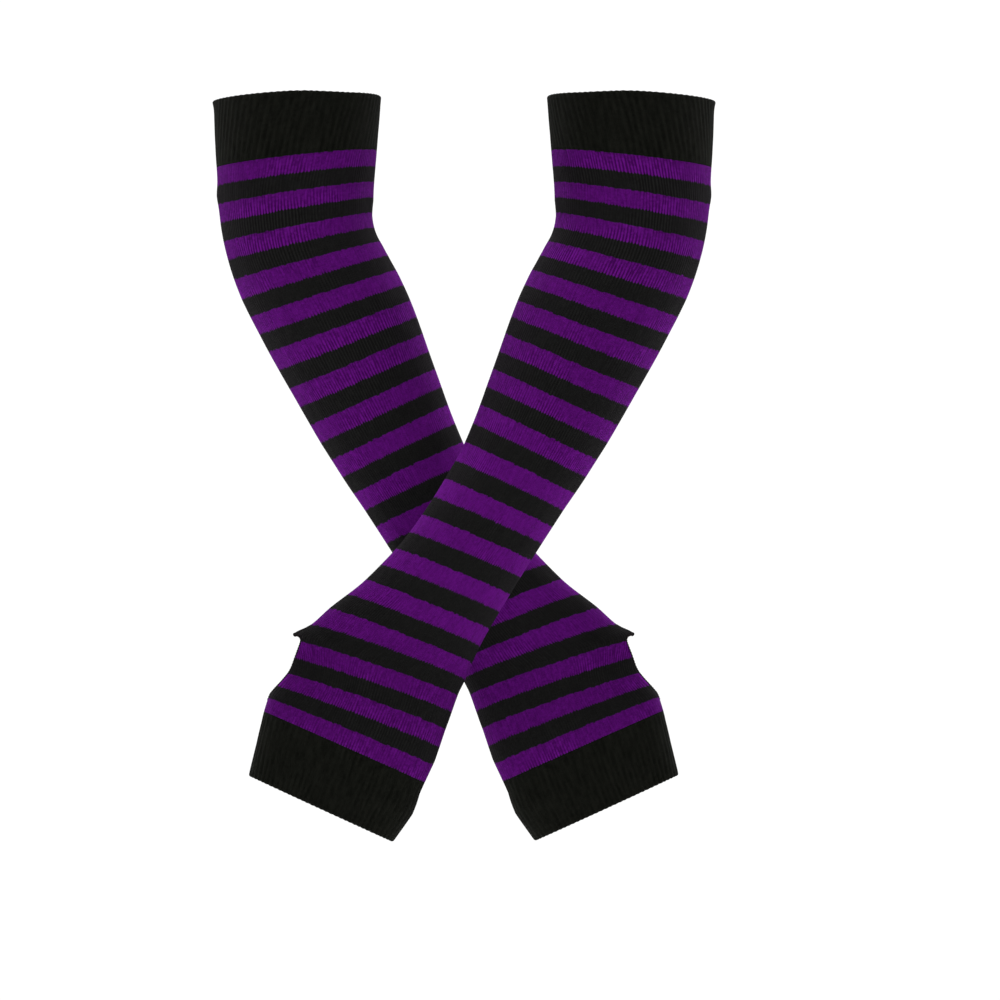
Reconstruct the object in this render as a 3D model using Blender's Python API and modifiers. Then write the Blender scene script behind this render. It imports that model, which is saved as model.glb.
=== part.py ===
"""A pair of knitted arm warmers, keeping the hollow form of two crossed arms.

Each arm warmer is a tube: a ribbed cuff round the upper arm, a striped sleeve, a ribbed cuff
round the palm, and a slit for the thumb with an overlocked edge.  The left one crosses in
front of the right one, which is its mirror image.

The tables are in millimetres and degrees, and the objects in metres.  +Z is up, -Y is the
front, and the origin lies midway between the two top openings.
"""

import math
from collections import namedtuple

import bmesh
import bpy
from mathutils import Vector

MM = 0.001

# ---------------------------------------------------------------- knitted sizes

STRIPES = 35  # the sleeve starts and ends with a purple one
TOP_RIM = -3.3  # places along an arm warmer are counted in stripes, from the sleeve's top
PALM_BEND = 36.3  # where the palm cuff starts to narrow
PALM_RIM = 38.5
CUFF_RIBS = 72
SEAM_GAP = 0.5  # at the outer rim, which leaves about 0.3 inside

SLEEVE_WALL = 1.5
CUFF_WALL = 2.1  # at a rib's crest
CUFF_VALLEY = 1.3  # between two ribs
STRIPE_HEIGHT = 9.7

SLEEVE_COLUMNS = 26  # faces round a sleeve
RING_SAMPLES = 180  # steps that measure the way round a section

# The stretches of the knitted sleeve, each short enough to see straight through.
STRETCHES = {"upper": (0, 5), "elbow": (5, 9), "forearm": (9, 16), "wrist": (16, 24), "hand": (24, 35)}

# ---------------------------------------------------------------- the arm's form

# One row for each section where the form changes, for the arm that starts at +X.
#   stripe       place along the arm warmer
#   x, z         the section's centre
#   width        its greatest width, seen from the front
#   depth        its size from front to back
#   tilt         its slope in the front view: minus lowers the +X side
#   rise         how far its front is raised above its centre
#   lean         how far both arms reach forward
#   spread       its share of ARMS_APART
#   squareness   2 is an ellipse, and more is fuller at the corners
Section = namedtuple("Section", "stripe x z width depth tilt rise lean spread squareness")

SECTIONS = [
    Section(-3.3, 84.9, 0.0, 85.3, 80.0, -2.7, 3.1, 0.0, 0.0, 2.0),
    Section(0.0, 85.3, -30.8, 81.9, 77.0, -6.4, 1.7, 0.4, 0.02, 2.0),
    Section(3.0, 85.2, -57.1, 78.5, 76.0, -10.1, 0.9, 1.6, 0.06, 2.0),
    Section(5.0, 83.0, -74.1, 76.1, 76.5, -13.1, 0.5, 2.7, 0.11, 2.0),
    Section(7.0, 75.7, -91.1, 77.4, 77.0, -17.2, 0.2, 3.9, 0.19, 2.0),
    Section(10.0, 63.5, -116.1, 76.2, 73.0, -20.6, -0.6, 5.9, 0.35, 2.0),
    Section(14.0, 46.5, -152.2, 68.8, 64.0, -25.0, -0.3, 8.9, 0.62, 2.0),
    Section(17.0, 33.2, -179.3, 62.8, 57.0, -26.3, 0.1, 11.2, 0.81, 2.0),
    Section(19.0, 23.2, -197.5, 59.4, 52.0, -25.7, 0.6, 12.7, 0.91, 2.0),
    Section(23.0, 0.6, -232.8, 59.8, 46.0, -23.0, 1.0, 15.6, 1.0, 2.1),
    Section(26.0, -18.7, -258.2, 66.9, 43.0, -22.5, 1.2, 17.4, 1.0, 2.2),
    Section(28.0, -32.4, -274.2, 76.9, 41.5, -21.7, 1.8, 18.5, 0.98, 2.3),
    Section(29.0, -38.7, -282.5, 82.4, 40.7, -20.3, 2.1, 19.0, 0.965, 2.35),
    Section(29.8, -45.3, -288.9, 89.0, 40.0, -19.1, 2.4, 19.4, 0.95, 2.4),
    Section(32.0, -51.3, -307.6, 87.6, 39.0, -19.6, 2.3, 20.4, 0.91, 2.4),
    Section(35.0, -60.8, -330.8, 87.9, 37.5, -24.0, 0.4, 21.6, 0.84, 2.4),
    Section(36.3, -65.0, -342.9, 86.4, 36.5, -24.4, 0.2, 22.1, 0.82, 2.4),
    Section(38.5, -72.7, -362.4, 79.9, 34.0, -24.9, 0.0, 22.9, 0.79, 2.3),
]

ARMS_APART = 23.7  # each arm from the plane between them, where they cross

# ---------------------------------------------------------------- the thumb slit

THUMB_START = 29.75
THUMB_END = 34.4
THUMB_HALF_GAP = 12.2  # along the cloth, at its widest
THUMB_BLUNTNESS = 8.0  # of its upper end
THUMB_TAPER = 1.2  # of its lower end
THUMB_END_ROUNDING = 0.75
THUMB_REACH = 48.0  # how far round the cloth the slit pushes the wales aside
SLIT_STEPS = 120
# The wall's own rows, where the slit starts, bends and ends.
SLIT_ROWS = (29.46, 29.55, 29.85, 34.45, 34.7)

EDGE_RADIUS = 0.9
EDGE_POINTS = 30
EDGE_CLEARANCE = 0.9  # leaves about 0.3 once both are made of short straight steps
WALL_GROW = 2 * EDGE_RADIUS + EDGE_CLEARANCE

# ---------------------------------------------------------------- colours

PURPLE = (0.078, 0.004, 0.125, 1.0)
BLACK = (0.0075, 0.0075, 0.0070, 1.0)
RIB_BLACK = (0.0062, 0.0065, 0.0055, 1.0)
THREAD_BLACK = (0.0050, 0.0050, 0.0052, 1.0)


def clear_scene():
    for obj in list(bpy.data.objects):
        bpy.data.objects.remove(obj, do_unlink=True)


def knit_material(name, color, roughness):
    material = bpy.data.materials.new(name)
    material.use_nodes = True
    shader = material.node_tree.nodes["Principled BSDF"]
    shader.inputs["Base Color"].default_value = color
    shader.inputs["Roughness"].default_value = roughness
    shader.inputs["Metallic"].default_value = 0.0
    material.diffuse_color = color
    return material


# ---------------------------------------------------------------- sections


def smooth_value(stripe, column):
    """The value of one column of SECTIONS at any place, on a smooth curve through its rows."""
    last = len(SECTIONS) - 1
    after = next((i for i, row in enumerate(SECTIONS) if row.stripe >= stripe), last)
    low = min(max(after - 1, 0), last - 1)

    def slope(i):
        a, b = SECTIONS[max(i - 1, 0)], SECTIONS[min(i + 1, last)]
        return (getattr(b, column) - getattr(a, column)) / (b.stripe - a.stripe)

    a, b = SECTIONS[low], SECTIONS[low + 1]
    span = b.stripe - a.stripe
    t = (stripe - a.stripe) / span
    return (
        (2 * t**3 - 3 * t**2 + 1) * getattr(a, column)
        + (t**3 - 2 * t**2 + t) * span * slope(low)
        + (3 * t**2 - 2 * t**3) * getattr(b, column)
        + (t**3 - t**2) * span * slope(low + 1)
    )


def section_at(stripe):
    return Section(stripe, *(smooth_value(stripe, column) for column in Section._fields[1:]))


def centre_of(section, side):
    forward = section.lean + side * ARMS_APART * section.spread
    return Vector((side * section.x, -forward, section.z)) * MM


def section_point(section, side, angle):
    """A point of the section: angle 0 is the thumb's side, and a quarter turn on is the front."""
    power = 2 / section.squareness
    across = -math.copysign(abs(math.cos(angle)) ** power, math.cos(angle)) * section.width / 2
    forward = math.copysign(abs(math.sin(angle)) ** power, math.sin(angle))
    tilt = math.radians(section.tilt)
    rise = forward * section.rise
    x = across * math.cos(tilt) - rise * math.sin(tilt)
    z = across * math.sin(tilt) + rise * math.cos(tilt)
    y = -forward * section.depth / 2
    return centre_of(section, side) + Vector((side * x, y, z)) * MM


def inset_point(section, side, angle, inset):
    """The point as far inside the section as inset, square to its edge."""
    point = section_point(section, side, angle)
    if not inset:
        return point
    step = math.pi / RING_SAMPLES
    along = section_point(section, side, angle + step) - section_point(section, side, angle - step)
    quarter = [section_point(section, side, i * math.pi / 2) for i in range(3)]
    axis = (quarter[1] - quarter[0]).cross(quarter[2] - quarter[1])
    return point + axis.cross(along).normalized() * inset * MM


def cloth_ring(section, side, shares, gap=0.0, insets=(0.0,)):
    """Points at shares of the way round the cloth, pushed apart by a gap at the thumb.

    The insets are taken in turn, so that two of them make ribs.
    """
    step = 2 * math.pi / RING_SAMPLES
    samples = [section_point(section, side, i * step) for i in range(RING_SAMPLES + 1)]
    lengths = [0.0]
    for a, b in zip(samples, samples[1:]):
        lengths.append(lengths[-1] + (b - a).length / MM)
    total = lengths[-1]
    points = []
    for j, share in enumerate(shares):
        from_thumb = min(share, 1 - share) * total
        push = gap * max(0.0, 1 - from_thumb / THUMB_REACH) ** 2
        distance = share * total + math.copysign(push, 0.5 - share)
        i = next((k for k in range(1, RING_SAMPLES) if lengths[k] > distance), RING_SAMPLES)
        part = (distance - lengths[i - 1]) / (lengths[i] - lengths[i - 1])
        angle = (i - 1 + part) * step
        points.append(inset_point(section, side, angle, insets[j % len(insets)]))
    return points


# ---------------------------------------------------------------- the thumb slit's outline


def slit_opening(along):
    """Half the clear opening at a place from -1, its blunt upper end, to 1, its tapered lower end."""
    if abs(along) >= 1:
        return 0.0
    if along < 0:
        return THUMB_HALF_GAP * math.sqrt(1 - abs(along) ** THUMB_BLUNTNESS)
    return THUMB_HALF_GAP * (1 - along**THUMB_TAPER) ** THUMB_END_ROUNDING


def slit_outline(grow):
    """The slit's front side, grown outwards, as (half opening, stripe) from its upper end down."""
    middle = (THUMB_START + THUMB_END) / 2
    half_length = (THUMB_END - THUMB_START) / 2 * STRIPE_HEIGHT
    places = [-math.cos(math.pi * i / SLIT_STEPS) for i in range(SLIT_STEPS + 1)]
    points = [Vector((slit_opening(along), along * half_length)) for along in places]
    outline = [(0.0, middle + (points[0].y - grow) / STRIPE_HEIGHT)]
    for before, point, after in zip(points, points[1:], points[2:]):
        direction = (after - before).normalized()
        moved = point + Vector((direction.y, -direction.x)) * grow
        outline.append((moved.x, middle + moved.y / STRIPE_HEIGHT))
    outline.append((0.0, middle + (points[-1].y + grow) / STRIPE_HEIGHT))
    return outline


def opening_at(stripe, outline):
    """Half the slit's opening at a stripe, and nothing above or below it."""
    for (gap, upper), (next_gap, lower) in zip(outline, outline[1:]):
        if upper <= stripe < lower:
            return gap + (next_gap - gap) * (stripe - upper) / (lower - upper)
    return 0.0


# ---------------------------------------------------------------- building


def grid_mesh(name, rows, side, material_of_row):
    """An open wall through rings of points whose last point closes on the first."""
    mesh = bpy.data.meshes.new(name)
    bm = bmesh.new()
    grid = [[bm.verts.new(point) for point in row] for row in rows]
    for i, (upper, lower) in enumerate(zip(grid, grid[1:])):
        for j in range(len(upper) - 1):
            corners = [upper[j], lower[j], lower[j + 1], upper[j + 1]]
            if side < 0:
                corners.reverse()
            face = bm.faces.new(corners)
            face.material_index = material_of_row(i)
            face.smooth = True
    bmesh.ops.remove_doubles(bm, verts=bm.verts, dist=0.001 * MM)
    bm.to_mesh(mesh)
    bm.free()
    return mesh


def add_piece(name, data, parent, origin, materials, collection):
    """Links a piece whose points are given from its own origin."""
    obj = bpy.data.objects.new(name, data)
    obj.location = origin
    obj.parent = parent
    for material in materials:
        data.materials.append(material)
    collection.objects.link(obj)
    return obj


def add_wall(obj, thickness, even):
    """Thickens an outer surface inwards."""
    wall = obj.modifiers.new("wall", "SOLIDIFY")
    wall.thickness = thickness * MM
    wall.offset = -1.0
    wall.use_even_offset = even
    wall.use_rim = True
    return wall


def relative(rows, origin):
    return [[point - origin for point in row] for row in rows]


def make_sleeve(side, prefix, stretch, parent, materials, collection):
    """One stretch of the striped sleeve, with a row of points at each edge of a stripe."""
    first, last = STRETCHES[stretch]
    trim = SEAM_GAP / 2 / STRIPE_HEIGHT
    stripes = [float(n) for n in range(first, last + 1)]
    stripes[0] += trim
    stripes[-1] -= trim
    slit = slit_outline(WALL_GROW)
    if first < THUMB_START < last:
        stripes = sorted([*stripes, *SLIT_ROWS])
    sections = [section_at(stripe) for stripe in stripes]
    origin = centre_of(sections[0], side)
    shares = [j / SLEEVE_COLUMNS for j in range(SLEEVE_COLUMNS + 1)]
    rows = []
    for section in sections:
        rows.append(cloth_ring(section, side, shares, opening_at(section.stripe, slit)))

    def colour(i):
        middle = (stripes[i] + stripes[i + 1]) / 2
        return math.floor(middle) % 2

    name = f"{prefix}_sleeve_{stretch}"
    mesh = grid_mesh(name, relative(rows, origin), side, colour)
    obj = add_piece(name, mesh, parent, origin, materials, collection)
    add_wall(obj, SLEEVE_WALL, even=True)
    return obj


def make_cuff(side, prefix, kind, stripes, parent, material, collection):
    """A ribbed cuff: crests and valleys outside, and a plain wall inside."""
    columns = 2 * CUFF_RIBS
    shares = [j / columns for j in range(columns + 1)]
    insets = (0.0, CUFF_WALL - CUFF_VALLEY)
    sections = [section_at(stripe) for stripe in stripes]
    origin = centre_of(sections[0], side)
    rows = [cloth_ring(section, side, shares, insets=insets) for section in sections]
    name = f"{prefix}_{kind}_cuff"
    mesh = grid_mesh(name, relative(rows, origin), side, lambda i: 0)
    obj = add_piece(name, mesh, parent, origin, [material], collection)
    crests = obj.vertex_groups.new(name="crests")
    crests.add(range(0, len(mesh.vertices), 2), 1.0, "REPLACE")
    wall = add_wall(obj, CUFF_WALL, even=False)
    wall.vertex_group = crests.name
    wall.thickness_vertex_group = CUFF_VALLEY / CUFF_WALL
    return obj


def make_thumb_edge(side, prefix, parent, material, collection):
    """The overlocked edge: a thin round roll along the inside of the slit."""
    front, rear = [], []
    for gap, stripe in slit_outline(EDGE_RADIUS):
        ends = cloth_ring(section_at(stripe), side, (0.0, 1.0), gap, insets=(SLEEVE_WALL / 2,))
        front.append(ends[0])
        rear.append(ends[1])
    outline = front + rear[-2:0:-1]
    points = evenly_spaced(outline, EDGE_POINTS)
    origin = centre_of(section_at(THUMB_START), side)
    curve = bpy.data.curves.new(f"{prefix}_thumb_edge", "CURVE")
    curve.dimensions = "3D"
    curve.bevel_depth = EDGE_RADIUS * MM
    curve.bevel_resolution = 2
    spline = curve.splines.new("POLY")
    spline.points.add(len(points) - 1)
    for target, point in zip(spline.points, points):
        target.co = (*(point - origin), 1.0)
    spline.use_cyclic_u = True
    return add_piece(f"{prefix}_thumb_edge", curve, parent, origin, [material], collection)


def evenly_spaced(loop, count):
    """Points at even distances along a closed loop."""
    closed = loop + [loop[0]]
    lengths = [0.0]
    for a, b in zip(closed, closed[1:]):
        lengths.append(lengths[-1] + (b - a).length)
    points = []
    for k in range(count):
        distance = lengths[-1] * k / count
        i = next(n for n in range(1, len(lengths)) if lengths[n] > distance)
        part = (distance - lengths[i - 1]) / (lengths[i] - lengths[i - 1])
        points.append(closed[i - 1].lerp(closed[i], part))
    return points


def make_arm_warmer(side, prefix, materials, collection):
    purple, black, rib, thread = materials
    parent = bpy.data.objects.new(f"{prefix}_arm_warmer", None)
    collection.objects.link(parent)
    trim = SEAM_GAP / 2 / STRIPE_HEIGHT
    top = (TOP_RIM, TOP_RIM / 2, -trim)
    palm = (STRIPES + trim, PALM_BEND, PALM_RIM)
    make_cuff(side, prefix, "top", top, parent, rib, collection)
    for stretch in STRETCHES:
        make_sleeve(side, prefix, stretch, parent, [purple, black], collection)
    make_cuff(side, prefix, "palm", palm, parent, rib, collection)
    make_thumb_edge(side, prefix, parent, thread, collection)


def main():
    clear_scene()
    collection = bpy.data.collections.new("arm_warmers")
    bpy.context.scene.collection.children.link(collection)
    materials = (
        knit_material("purple_knit", PURPLE, 0.85),
        knit_material("black_knit", BLACK, 0.9),
        knit_material("black_rib", RIB_BLACK, 0.9),
        knit_material("overlock_thread", THREAD_BLACK, 0.8),
    )
    make_arm_warmer(1, "left", materials, collection)
    make_arm_warmer(-1, "right", materials, collection)


main()
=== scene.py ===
"""The looks of a pair of knitted arm warmers, worn on two crossed arms.

Each arm warmer is dressed as it is made: a ribbed top cuff, one striped knitted sleeve, a ribbed
palm cuff, and the overlocked edge of the thumb slit.  The cloth is knitted wale by wale and course
by course: a wale is one column of stitches, and a course is one round of them.

The form repeats the sizes of the CAD solids, and the knit stands up to 2 mm proud of them at its
sides.  The tables are in millimetres and degrees, and the objects are in metres.
"""

import math
from collections import namedtuple

import bpy
import numpy as np
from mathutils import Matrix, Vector


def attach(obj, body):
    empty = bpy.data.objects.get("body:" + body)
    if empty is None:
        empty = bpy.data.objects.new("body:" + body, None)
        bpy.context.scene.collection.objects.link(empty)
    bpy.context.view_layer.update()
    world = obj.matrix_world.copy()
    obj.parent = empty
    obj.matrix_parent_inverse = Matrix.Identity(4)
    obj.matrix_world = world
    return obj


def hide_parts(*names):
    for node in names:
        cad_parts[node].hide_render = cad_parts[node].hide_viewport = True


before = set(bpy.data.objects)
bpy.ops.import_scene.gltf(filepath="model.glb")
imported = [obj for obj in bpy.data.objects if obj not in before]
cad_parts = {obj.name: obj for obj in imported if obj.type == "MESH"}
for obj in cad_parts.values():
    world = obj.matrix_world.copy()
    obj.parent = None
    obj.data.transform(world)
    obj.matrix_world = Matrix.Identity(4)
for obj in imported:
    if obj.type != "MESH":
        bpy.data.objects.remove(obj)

MM = 0.001
KNIT_MAP = "knit"  # the map that gives each point's wale and course

# ---------------- knitted sizes

STRIPES = 35
STRIPE_HEIGHT = 9.7
STRIPE_COURSES = 8
WALES = 144  # all the way round
TOP_RIM = -3.3  # places along an arm warmer are counted in stripes, from the sleeve's top
PALM_RIM = 38.5
STRETCHES = ("upper", "elbow", "forearm", "wrist", "hand")

SLEEVE_WALL = 1.5
CUFF_WALL = 2.1
RIB_DEPTH = 0.45
RIB_CREST = 0.85  # under 1, the ribs' crests are narrower than the dips between them
WALE_DEPTH = 0.25
RIM_SCALLOP = 0.2  # how far a rim dips between two ribs
RIM_DRAW = 0.15  # how far the ribs draw a rim in
RIM_DRAWN = 3.0  # the length that is drawn in
TOP_RIM_RISE = 0.55  # how far the top rim stands above its section at the outer side
TOP_RIM_SAG = 1.5  # and how much lower it lies at the inner side
TOP_SAG_START = -0.4  # where the sag starts, if -1 is the outer side and 1 the inner
TOP_SAG_SPAN = 0.9  # and how far on from there it is full
PALM_RIM_SLANT = 0.15  # how far the palm rim reaches past its section at the thumb's side
RIB_FADE = 2.5  # courses in which the ribs turn into plain knit
SEAM_GAP = 0.05

TOP_LEAN = 0.043  # how far the wales lean round at the top rim, as a share of the way
LEAN_END = 2.0  # the stripe where they stand straight
LEAN_CURVE = 1.2  # over 1, the lean grows faster towards the rim

# Knitting is never quite even.
RELIEF_UNEVEN = 0.45  # share of a wale's relief
RIB_UNEVEN = 0.8  # share of a rib's
SURFACE_UNEVEN = 0.3  # how deep the cloth's soft dips are
WANDER = 0.3  # how far a wale or a rib strays sideways, in wales

# Each of these changes about every so many wales and courses, and has a seed of its own.
Unevenness = namedtuple("Unevenness", "wales courses seed")

RELIEF_CHANGES = Unevenness(1.5, 9, 11)
RIB_CHANGES = Unevenness(2, 7, 12)
WANDER_CHANGES = Unevenness(3, 14, 21)
SURFACE_CHANGES = Unevenness(12, 16, 31)

SLEEVE_POINTS_PER_WALE = 3
SLEEVE_ROW = 2  # courses between the rows of points
SLEEVE_INNER_ROW = 4
FINE_ABOVE_SLIT = 0.3  # how far past the thumb slit every course has its row, in stripes
FINE_BELOW_SLIT = 0.4
CUFF_POINTS_PER_WALE = 4
CUFF_ROWS_PER_COURSE = 2
CUFF_FIRST_ROW = 0.6  # how far below the rim the first row lies, in wall thicknesses
CUFF_INNER_ROWS = 12
CUFF_FIRST_INNER_ROW = 0.8
RIM_STEPS = 10

# ---------------- the arm's form

# One row for each section where the form changes, for the arm that starts at +X.
#   stripe       place along the arm warmer
#   x, z         the section's centre
#   width        its greatest width, seen from the front
#   depth        its size from front to back
#   tilt         its slope in the front view: minus lowers the +X side
#   rise         how far its front is raised above its centre
#   lean         how far both arms reach forward
#   spread       its share of ARMS_APART
#   squareness   2 is an ellipse, and more is fuller at the corners
Section = namedtuple("Section", "stripe x z width depth tilt rise lean spread squareness")

SECTIONS = [
    Section(-3.3, 84.9, 0.0, 85.3, 80.0, -2.7, 3.1, 0.0, 0.0, 2.0),
    Section(0.0, 85.3, -30.8, 81.9, 77.0, -6.4, 1.7, 0.4, 0.02, 2.0),
    Section(3.0, 85.2, -57.1, 78.5, 76.0, -10.1, 0.9, 1.6, 0.06, 2.0),
    Section(5.0, 83.0, -74.1, 76.1, 76.5, -13.1, 0.5, 2.7, 0.11, 2.0),
    Section(7.0, 75.7, -91.1, 77.4, 77.0, -17.2, 0.2, 3.9, 0.19, 2.0),
    Section(10.0, 63.5, -116.1, 76.2, 73.0, -20.6, -0.6, 5.9, 0.35, 2.0),
    Section(14.0, 46.5, -152.2, 68.8, 64.0, -25.0, -0.3, 8.9, 0.62, 2.0),
    Section(17.0, 33.2, -179.3, 62.8, 57.0, -26.3, 0.1, 11.2, 0.81, 2.0),
    Section(19.0, 23.2, -197.5, 59.4, 52.0, -25.7, 0.6, 12.7, 0.91, 2.0),
    Section(23.0, 0.6, -232.8, 59.8, 46.0, -23.0, 1.0, 15.6, 1.0, 2.1),
    Section(26.0, -18.7, -258.2, 66.9, 43.0, -22.5, 1.2, 17.4, 1.0, 2.2),
    Section(28.0, -32.4, -274.2, 76.9, 41.5, -21.7, 1.8, 18.5, 0.98, 2.3),
    Section(29.0, -38.7, -282.5, 82.4, 40.7, -20.3, 2.1, 19.0, 0.965, 2.35),
    Section(29.8, -45.3, -288.9, 89.0, 40.0, -19.1, 2.4, 19.4, 0.95, 2.4),
    Section(32.0, -51.3, -307.6, 87.6, 39.0, -19.6, 2.3, 20.4, 0.91, 2.4),
    Section(35.0, -60.8, -330.8, 87.9, 37.5, -24.0, 0.4, 21.6, 0.84, 2.4),
    Section(36.3, -65.0, -342.9, 86.4, 36.5, -24.4, 0.2, 22.1, 0.82, 2.4),
    Section(38.5, -72.7, -362.4, 79.9, 34.0, -24.9, 0.0, 22.9, 0.79, 2.3),
]

ARMS_APART = 23.7

# How far the soft knit stands proud of the solids' form, at its outer side and at the thumb's.
Proud = namedtuple("Proud", "stripe outer inner")

PROUD = [
    Proud(-3.3, 0.45, 0.40),
    Proud(0.0, 0.60, 0.35),
    Proud(3.2, 0.65, 0.60),
    Proud(4.2, 0.62, 0.00),
    Proud(5.0, 0.60, 0.15),
    Proud(7.0, 1.00, 0.55),
    Proud(9.0, 0.65, 0.30),
    Proud(12.3, 0.50, 0.40),
    Proud(15.0, 0.95, 0.45),
    Proud(17.0, 0.95, 0.50),
    Proud(19.0, 0.65, 0.75),
    Proud(26.0, 0.65, 0.40),
    Proud(28.7, 0.60, 0.30),
    Proud(29.7, 0.50, 0.20),
    Proud(32.0, 0.65, 0.35),
    Proud(33.7, 1.50, 1.90),
    Proud(35.6, 0.60, 0.70),
    Proud(36.7, 1.80, 0.55),
    Proud(38.5, 0.35, 0.75),
]

FORM_ROWS = 1300  # the form is worked out once on a fine grid and read from it
FORM_COLUMNS = 720
FORM_MARGIN = 0.3  # stripes past each rim

# Soft troughs in the cloth, or ridges where the depth is minus: the middle's stripe and its share
# of the way round, the length and width in mm, the depth, and the turn in degrees from going
# straight round.
Crease = namedtuple("Crease", "stripe share length width depth turn")

CREASES = [
    Crease(-3.5, 0.50, 40, 3.2, -1.1, 0),
    Crease(1.5, 0.50, 22, 5.0, -0.75, 4),
    Crease(29.6, 0.00, 22, 2.6, -0.4, 0),
    Crease(5.6, 0.03, 26, 5.0, 0.55, -14),
    Crease(6.7, 0.97, 34, 5.5, 0.8, 6),
    Crease(7.9, 0.04, 28, 5.0, 0.6, 18),
    Crease(9.6, 0.93, 22, 5.0, 0.4, 24),
    Crease(4.3, 0.62, 30, 7.0, 0.5, 20),
    Crease(8.6, 0.80, 34, 6.0, 0.6, -16),
    Crease(13.2, 0.71, 26, 6.0, 0.4, 12),
    Crease(19.6, 0.86, 26, 5.0, 0.5, 15),
    Crease(22.4, 0.78, 34, 5.5, 0.7, -8),
    Crease(24.3, 0.66, 28, 5.0, 0.5, 14),
    Crease(27.8, 0.70, 30, 6.0, 0.5, -18),
    Crease(33.0, 0.74, 30, 6.0, 0.4, 10),
]

# ---------------- the thumb slit

THUMB_START = 29.77
THUMB_END = 34.1
THUMB_HALF_GAP = 12.6
THUMB_BLUNTNESS = 40.0
THUMB_TAPER = 2.0
THUMB_END_ROUNDING = 1.1
SLIT_STEPS = 120
SLIT_SNAP = 0.15  # cloth that ends this close to the slit's edge is drawn to it

WALE_PUSH = 7.5  # how far the thumb pushes the wales beside the slit aside
WALE_PUSH_FULL = 6.0  # distance from the slit's middle line where the push is full
WALE_PUSH_REACH = 48.0  # and where it has died away
WALE_PUSH_START = 29.4  # the stripe where it begins
WALE_PUSH_RISE = 2.0  # the stripes in which it builds up
WALE_PUSH_END = 35.3  # the stripe where it ends
WALE_PUSH_FADE = 1.6  # how fast it fades towards its end, where 1 would take its whole length

DRAWN_UP = 0.35  # how far the cloth behind the slit's upper end is drawn up, in stripes
DRAWN_UP_FULL = 10.0  # distance behind the slit's middle line where it is drawn up fully
DRAWN_UP_REACH = 45.0  # and where that has died away
DRAWN_UP_LENGTH = 1.8  # and how far along the arm it reaches, in stripes

EDGE_OVERHANG = 0.9  # from the slit's clear opening to the cloth's cut edge
EDGE_HALF_WIDTH = 0.5  # the overlocked roll, along the cloth
EDGE_HALF_DEPTH = 0.85  # and through it
EDGE_AROUND = 16
EDGE_RINGS = 3  # rings of the roll for each turn of the thread
THREAD_RADIUS = 0.18
THREAD_SIDES = 6
THREAD_PITCH = 1.3
THREAD_POINTS = 14  # points for each turn of the thread

# ---------------- looks

PURPLE_DARK = (0.040, 0.0012, 0.064)
PURPLE_LIGHT = (0.114, 0.0056, 0.186)
BLACK_DARK = (0.0050, 0.0050, 0.0048)
BLACK_LIGHT = (0.0106, 0.0107, 0.0103)
RIB_DARK = (0.0022, 0.0025, 0.0018)
RIB_LIGHT = (0.0082, 0.0086, 0.0067)
THREAD_DARK = (0.0028, 0.0018, 0.0020)
THREAD_LIGHT = (0.0080, 0.0056, 0.0060)
PURPLE_SHEEN = (0.6, 0.3, 0.7)
BLACK_SHEEN = (0.5, 0.5, 0.5)
YARN_SHEEN = 0.01  # how strong the sheen is

# The stripes' edges, in courses.
STRIPE_PAIR = 2 * STRIPE_COURSES
JOG = 1.5  # how far a round's end lies below its start
EDGE_STRAY = 0.9  # how far an edge strays slowly
EDGE_STEP = 0.45  # and how far it steps from wale to wale
EDGE_FADE = 0.35  # half of the fade from one colour to the other
TOOTH = 0.12  # how far a wale's crest carries its colour over an edge
LOWER_TOOTH = 0.42  # and how much farther at a purple stripe's lower edge
TOOTH_LEAST = 0.55  # each tooth's own share of that, at least
TOOTH_SPREAD = 0.9  # and up to so much more

# How light the striped yarn is, where 0 is its dark colour and 1 its light one; this tone also holds
# painted light and painted shade.
TONE_ENDS = (-0.15, 1.15)  # tones past these are all dark or all light
MIDDLE_TONE = 0.41
# Painted light that makes the forearm lighter, and painted shade that makes the hand darker.
FOREARM_PAINTED_LIGHT = 0.16
HAND_PAINTED_SHADE = 0.24
CREST_AND_DIP_PAINTED_SHADE = 0.18  # painted light on the wales' crests and painted shade in the dips beside them
LOWER_CONTRAST = 0.5  # and how much more low in a purple stripe and on black
PATCHED_CONTRAST = 1.45  # the share of both that comes and goes in patches
STEADY_CONTRAST = 0.1  # and the share that stays
UPPER_ARM_PATCHES = 0.8  # how much stronger the patches are on the upper arm
HAND_PATCHES = 0.25  # and how much weaker on the hand
STREAK_CONTRAST = 0.6
FIBRE_CONTRAST = 0.7
STITCH_CONTRAST = 0.2
STITCH_PATCHES = 0.15

# How light the ribs' yarn is, with painted light on the ribs' crests and painted shade in the dips
# between them.
RIB_STEADY_PAINTED_SHADE = 0.05
RIB_PATCHED_PAINTED_SHADE = 0.3
RIB_FIBRE_CONTRAST = 0.6
RIB_STITCH_CONTRAST = 0.25

# The height of a V stitch, which is drawn by bump: its legs, in wales from its middle.
LEG_FOOT = 0.14
LEG_LEAN = 0.2
LEG_HALF_WIDTH = 0.22
FIBRE_HEIGHT = 0.6  # a share of the stitch's own
BUMP_DEPTH = 0.2
RIB_INNER_BUMP_DEPTH = 0.12
THREAD_BUMP_DEPTH = 0.05

# ---------------- camera and light

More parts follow.
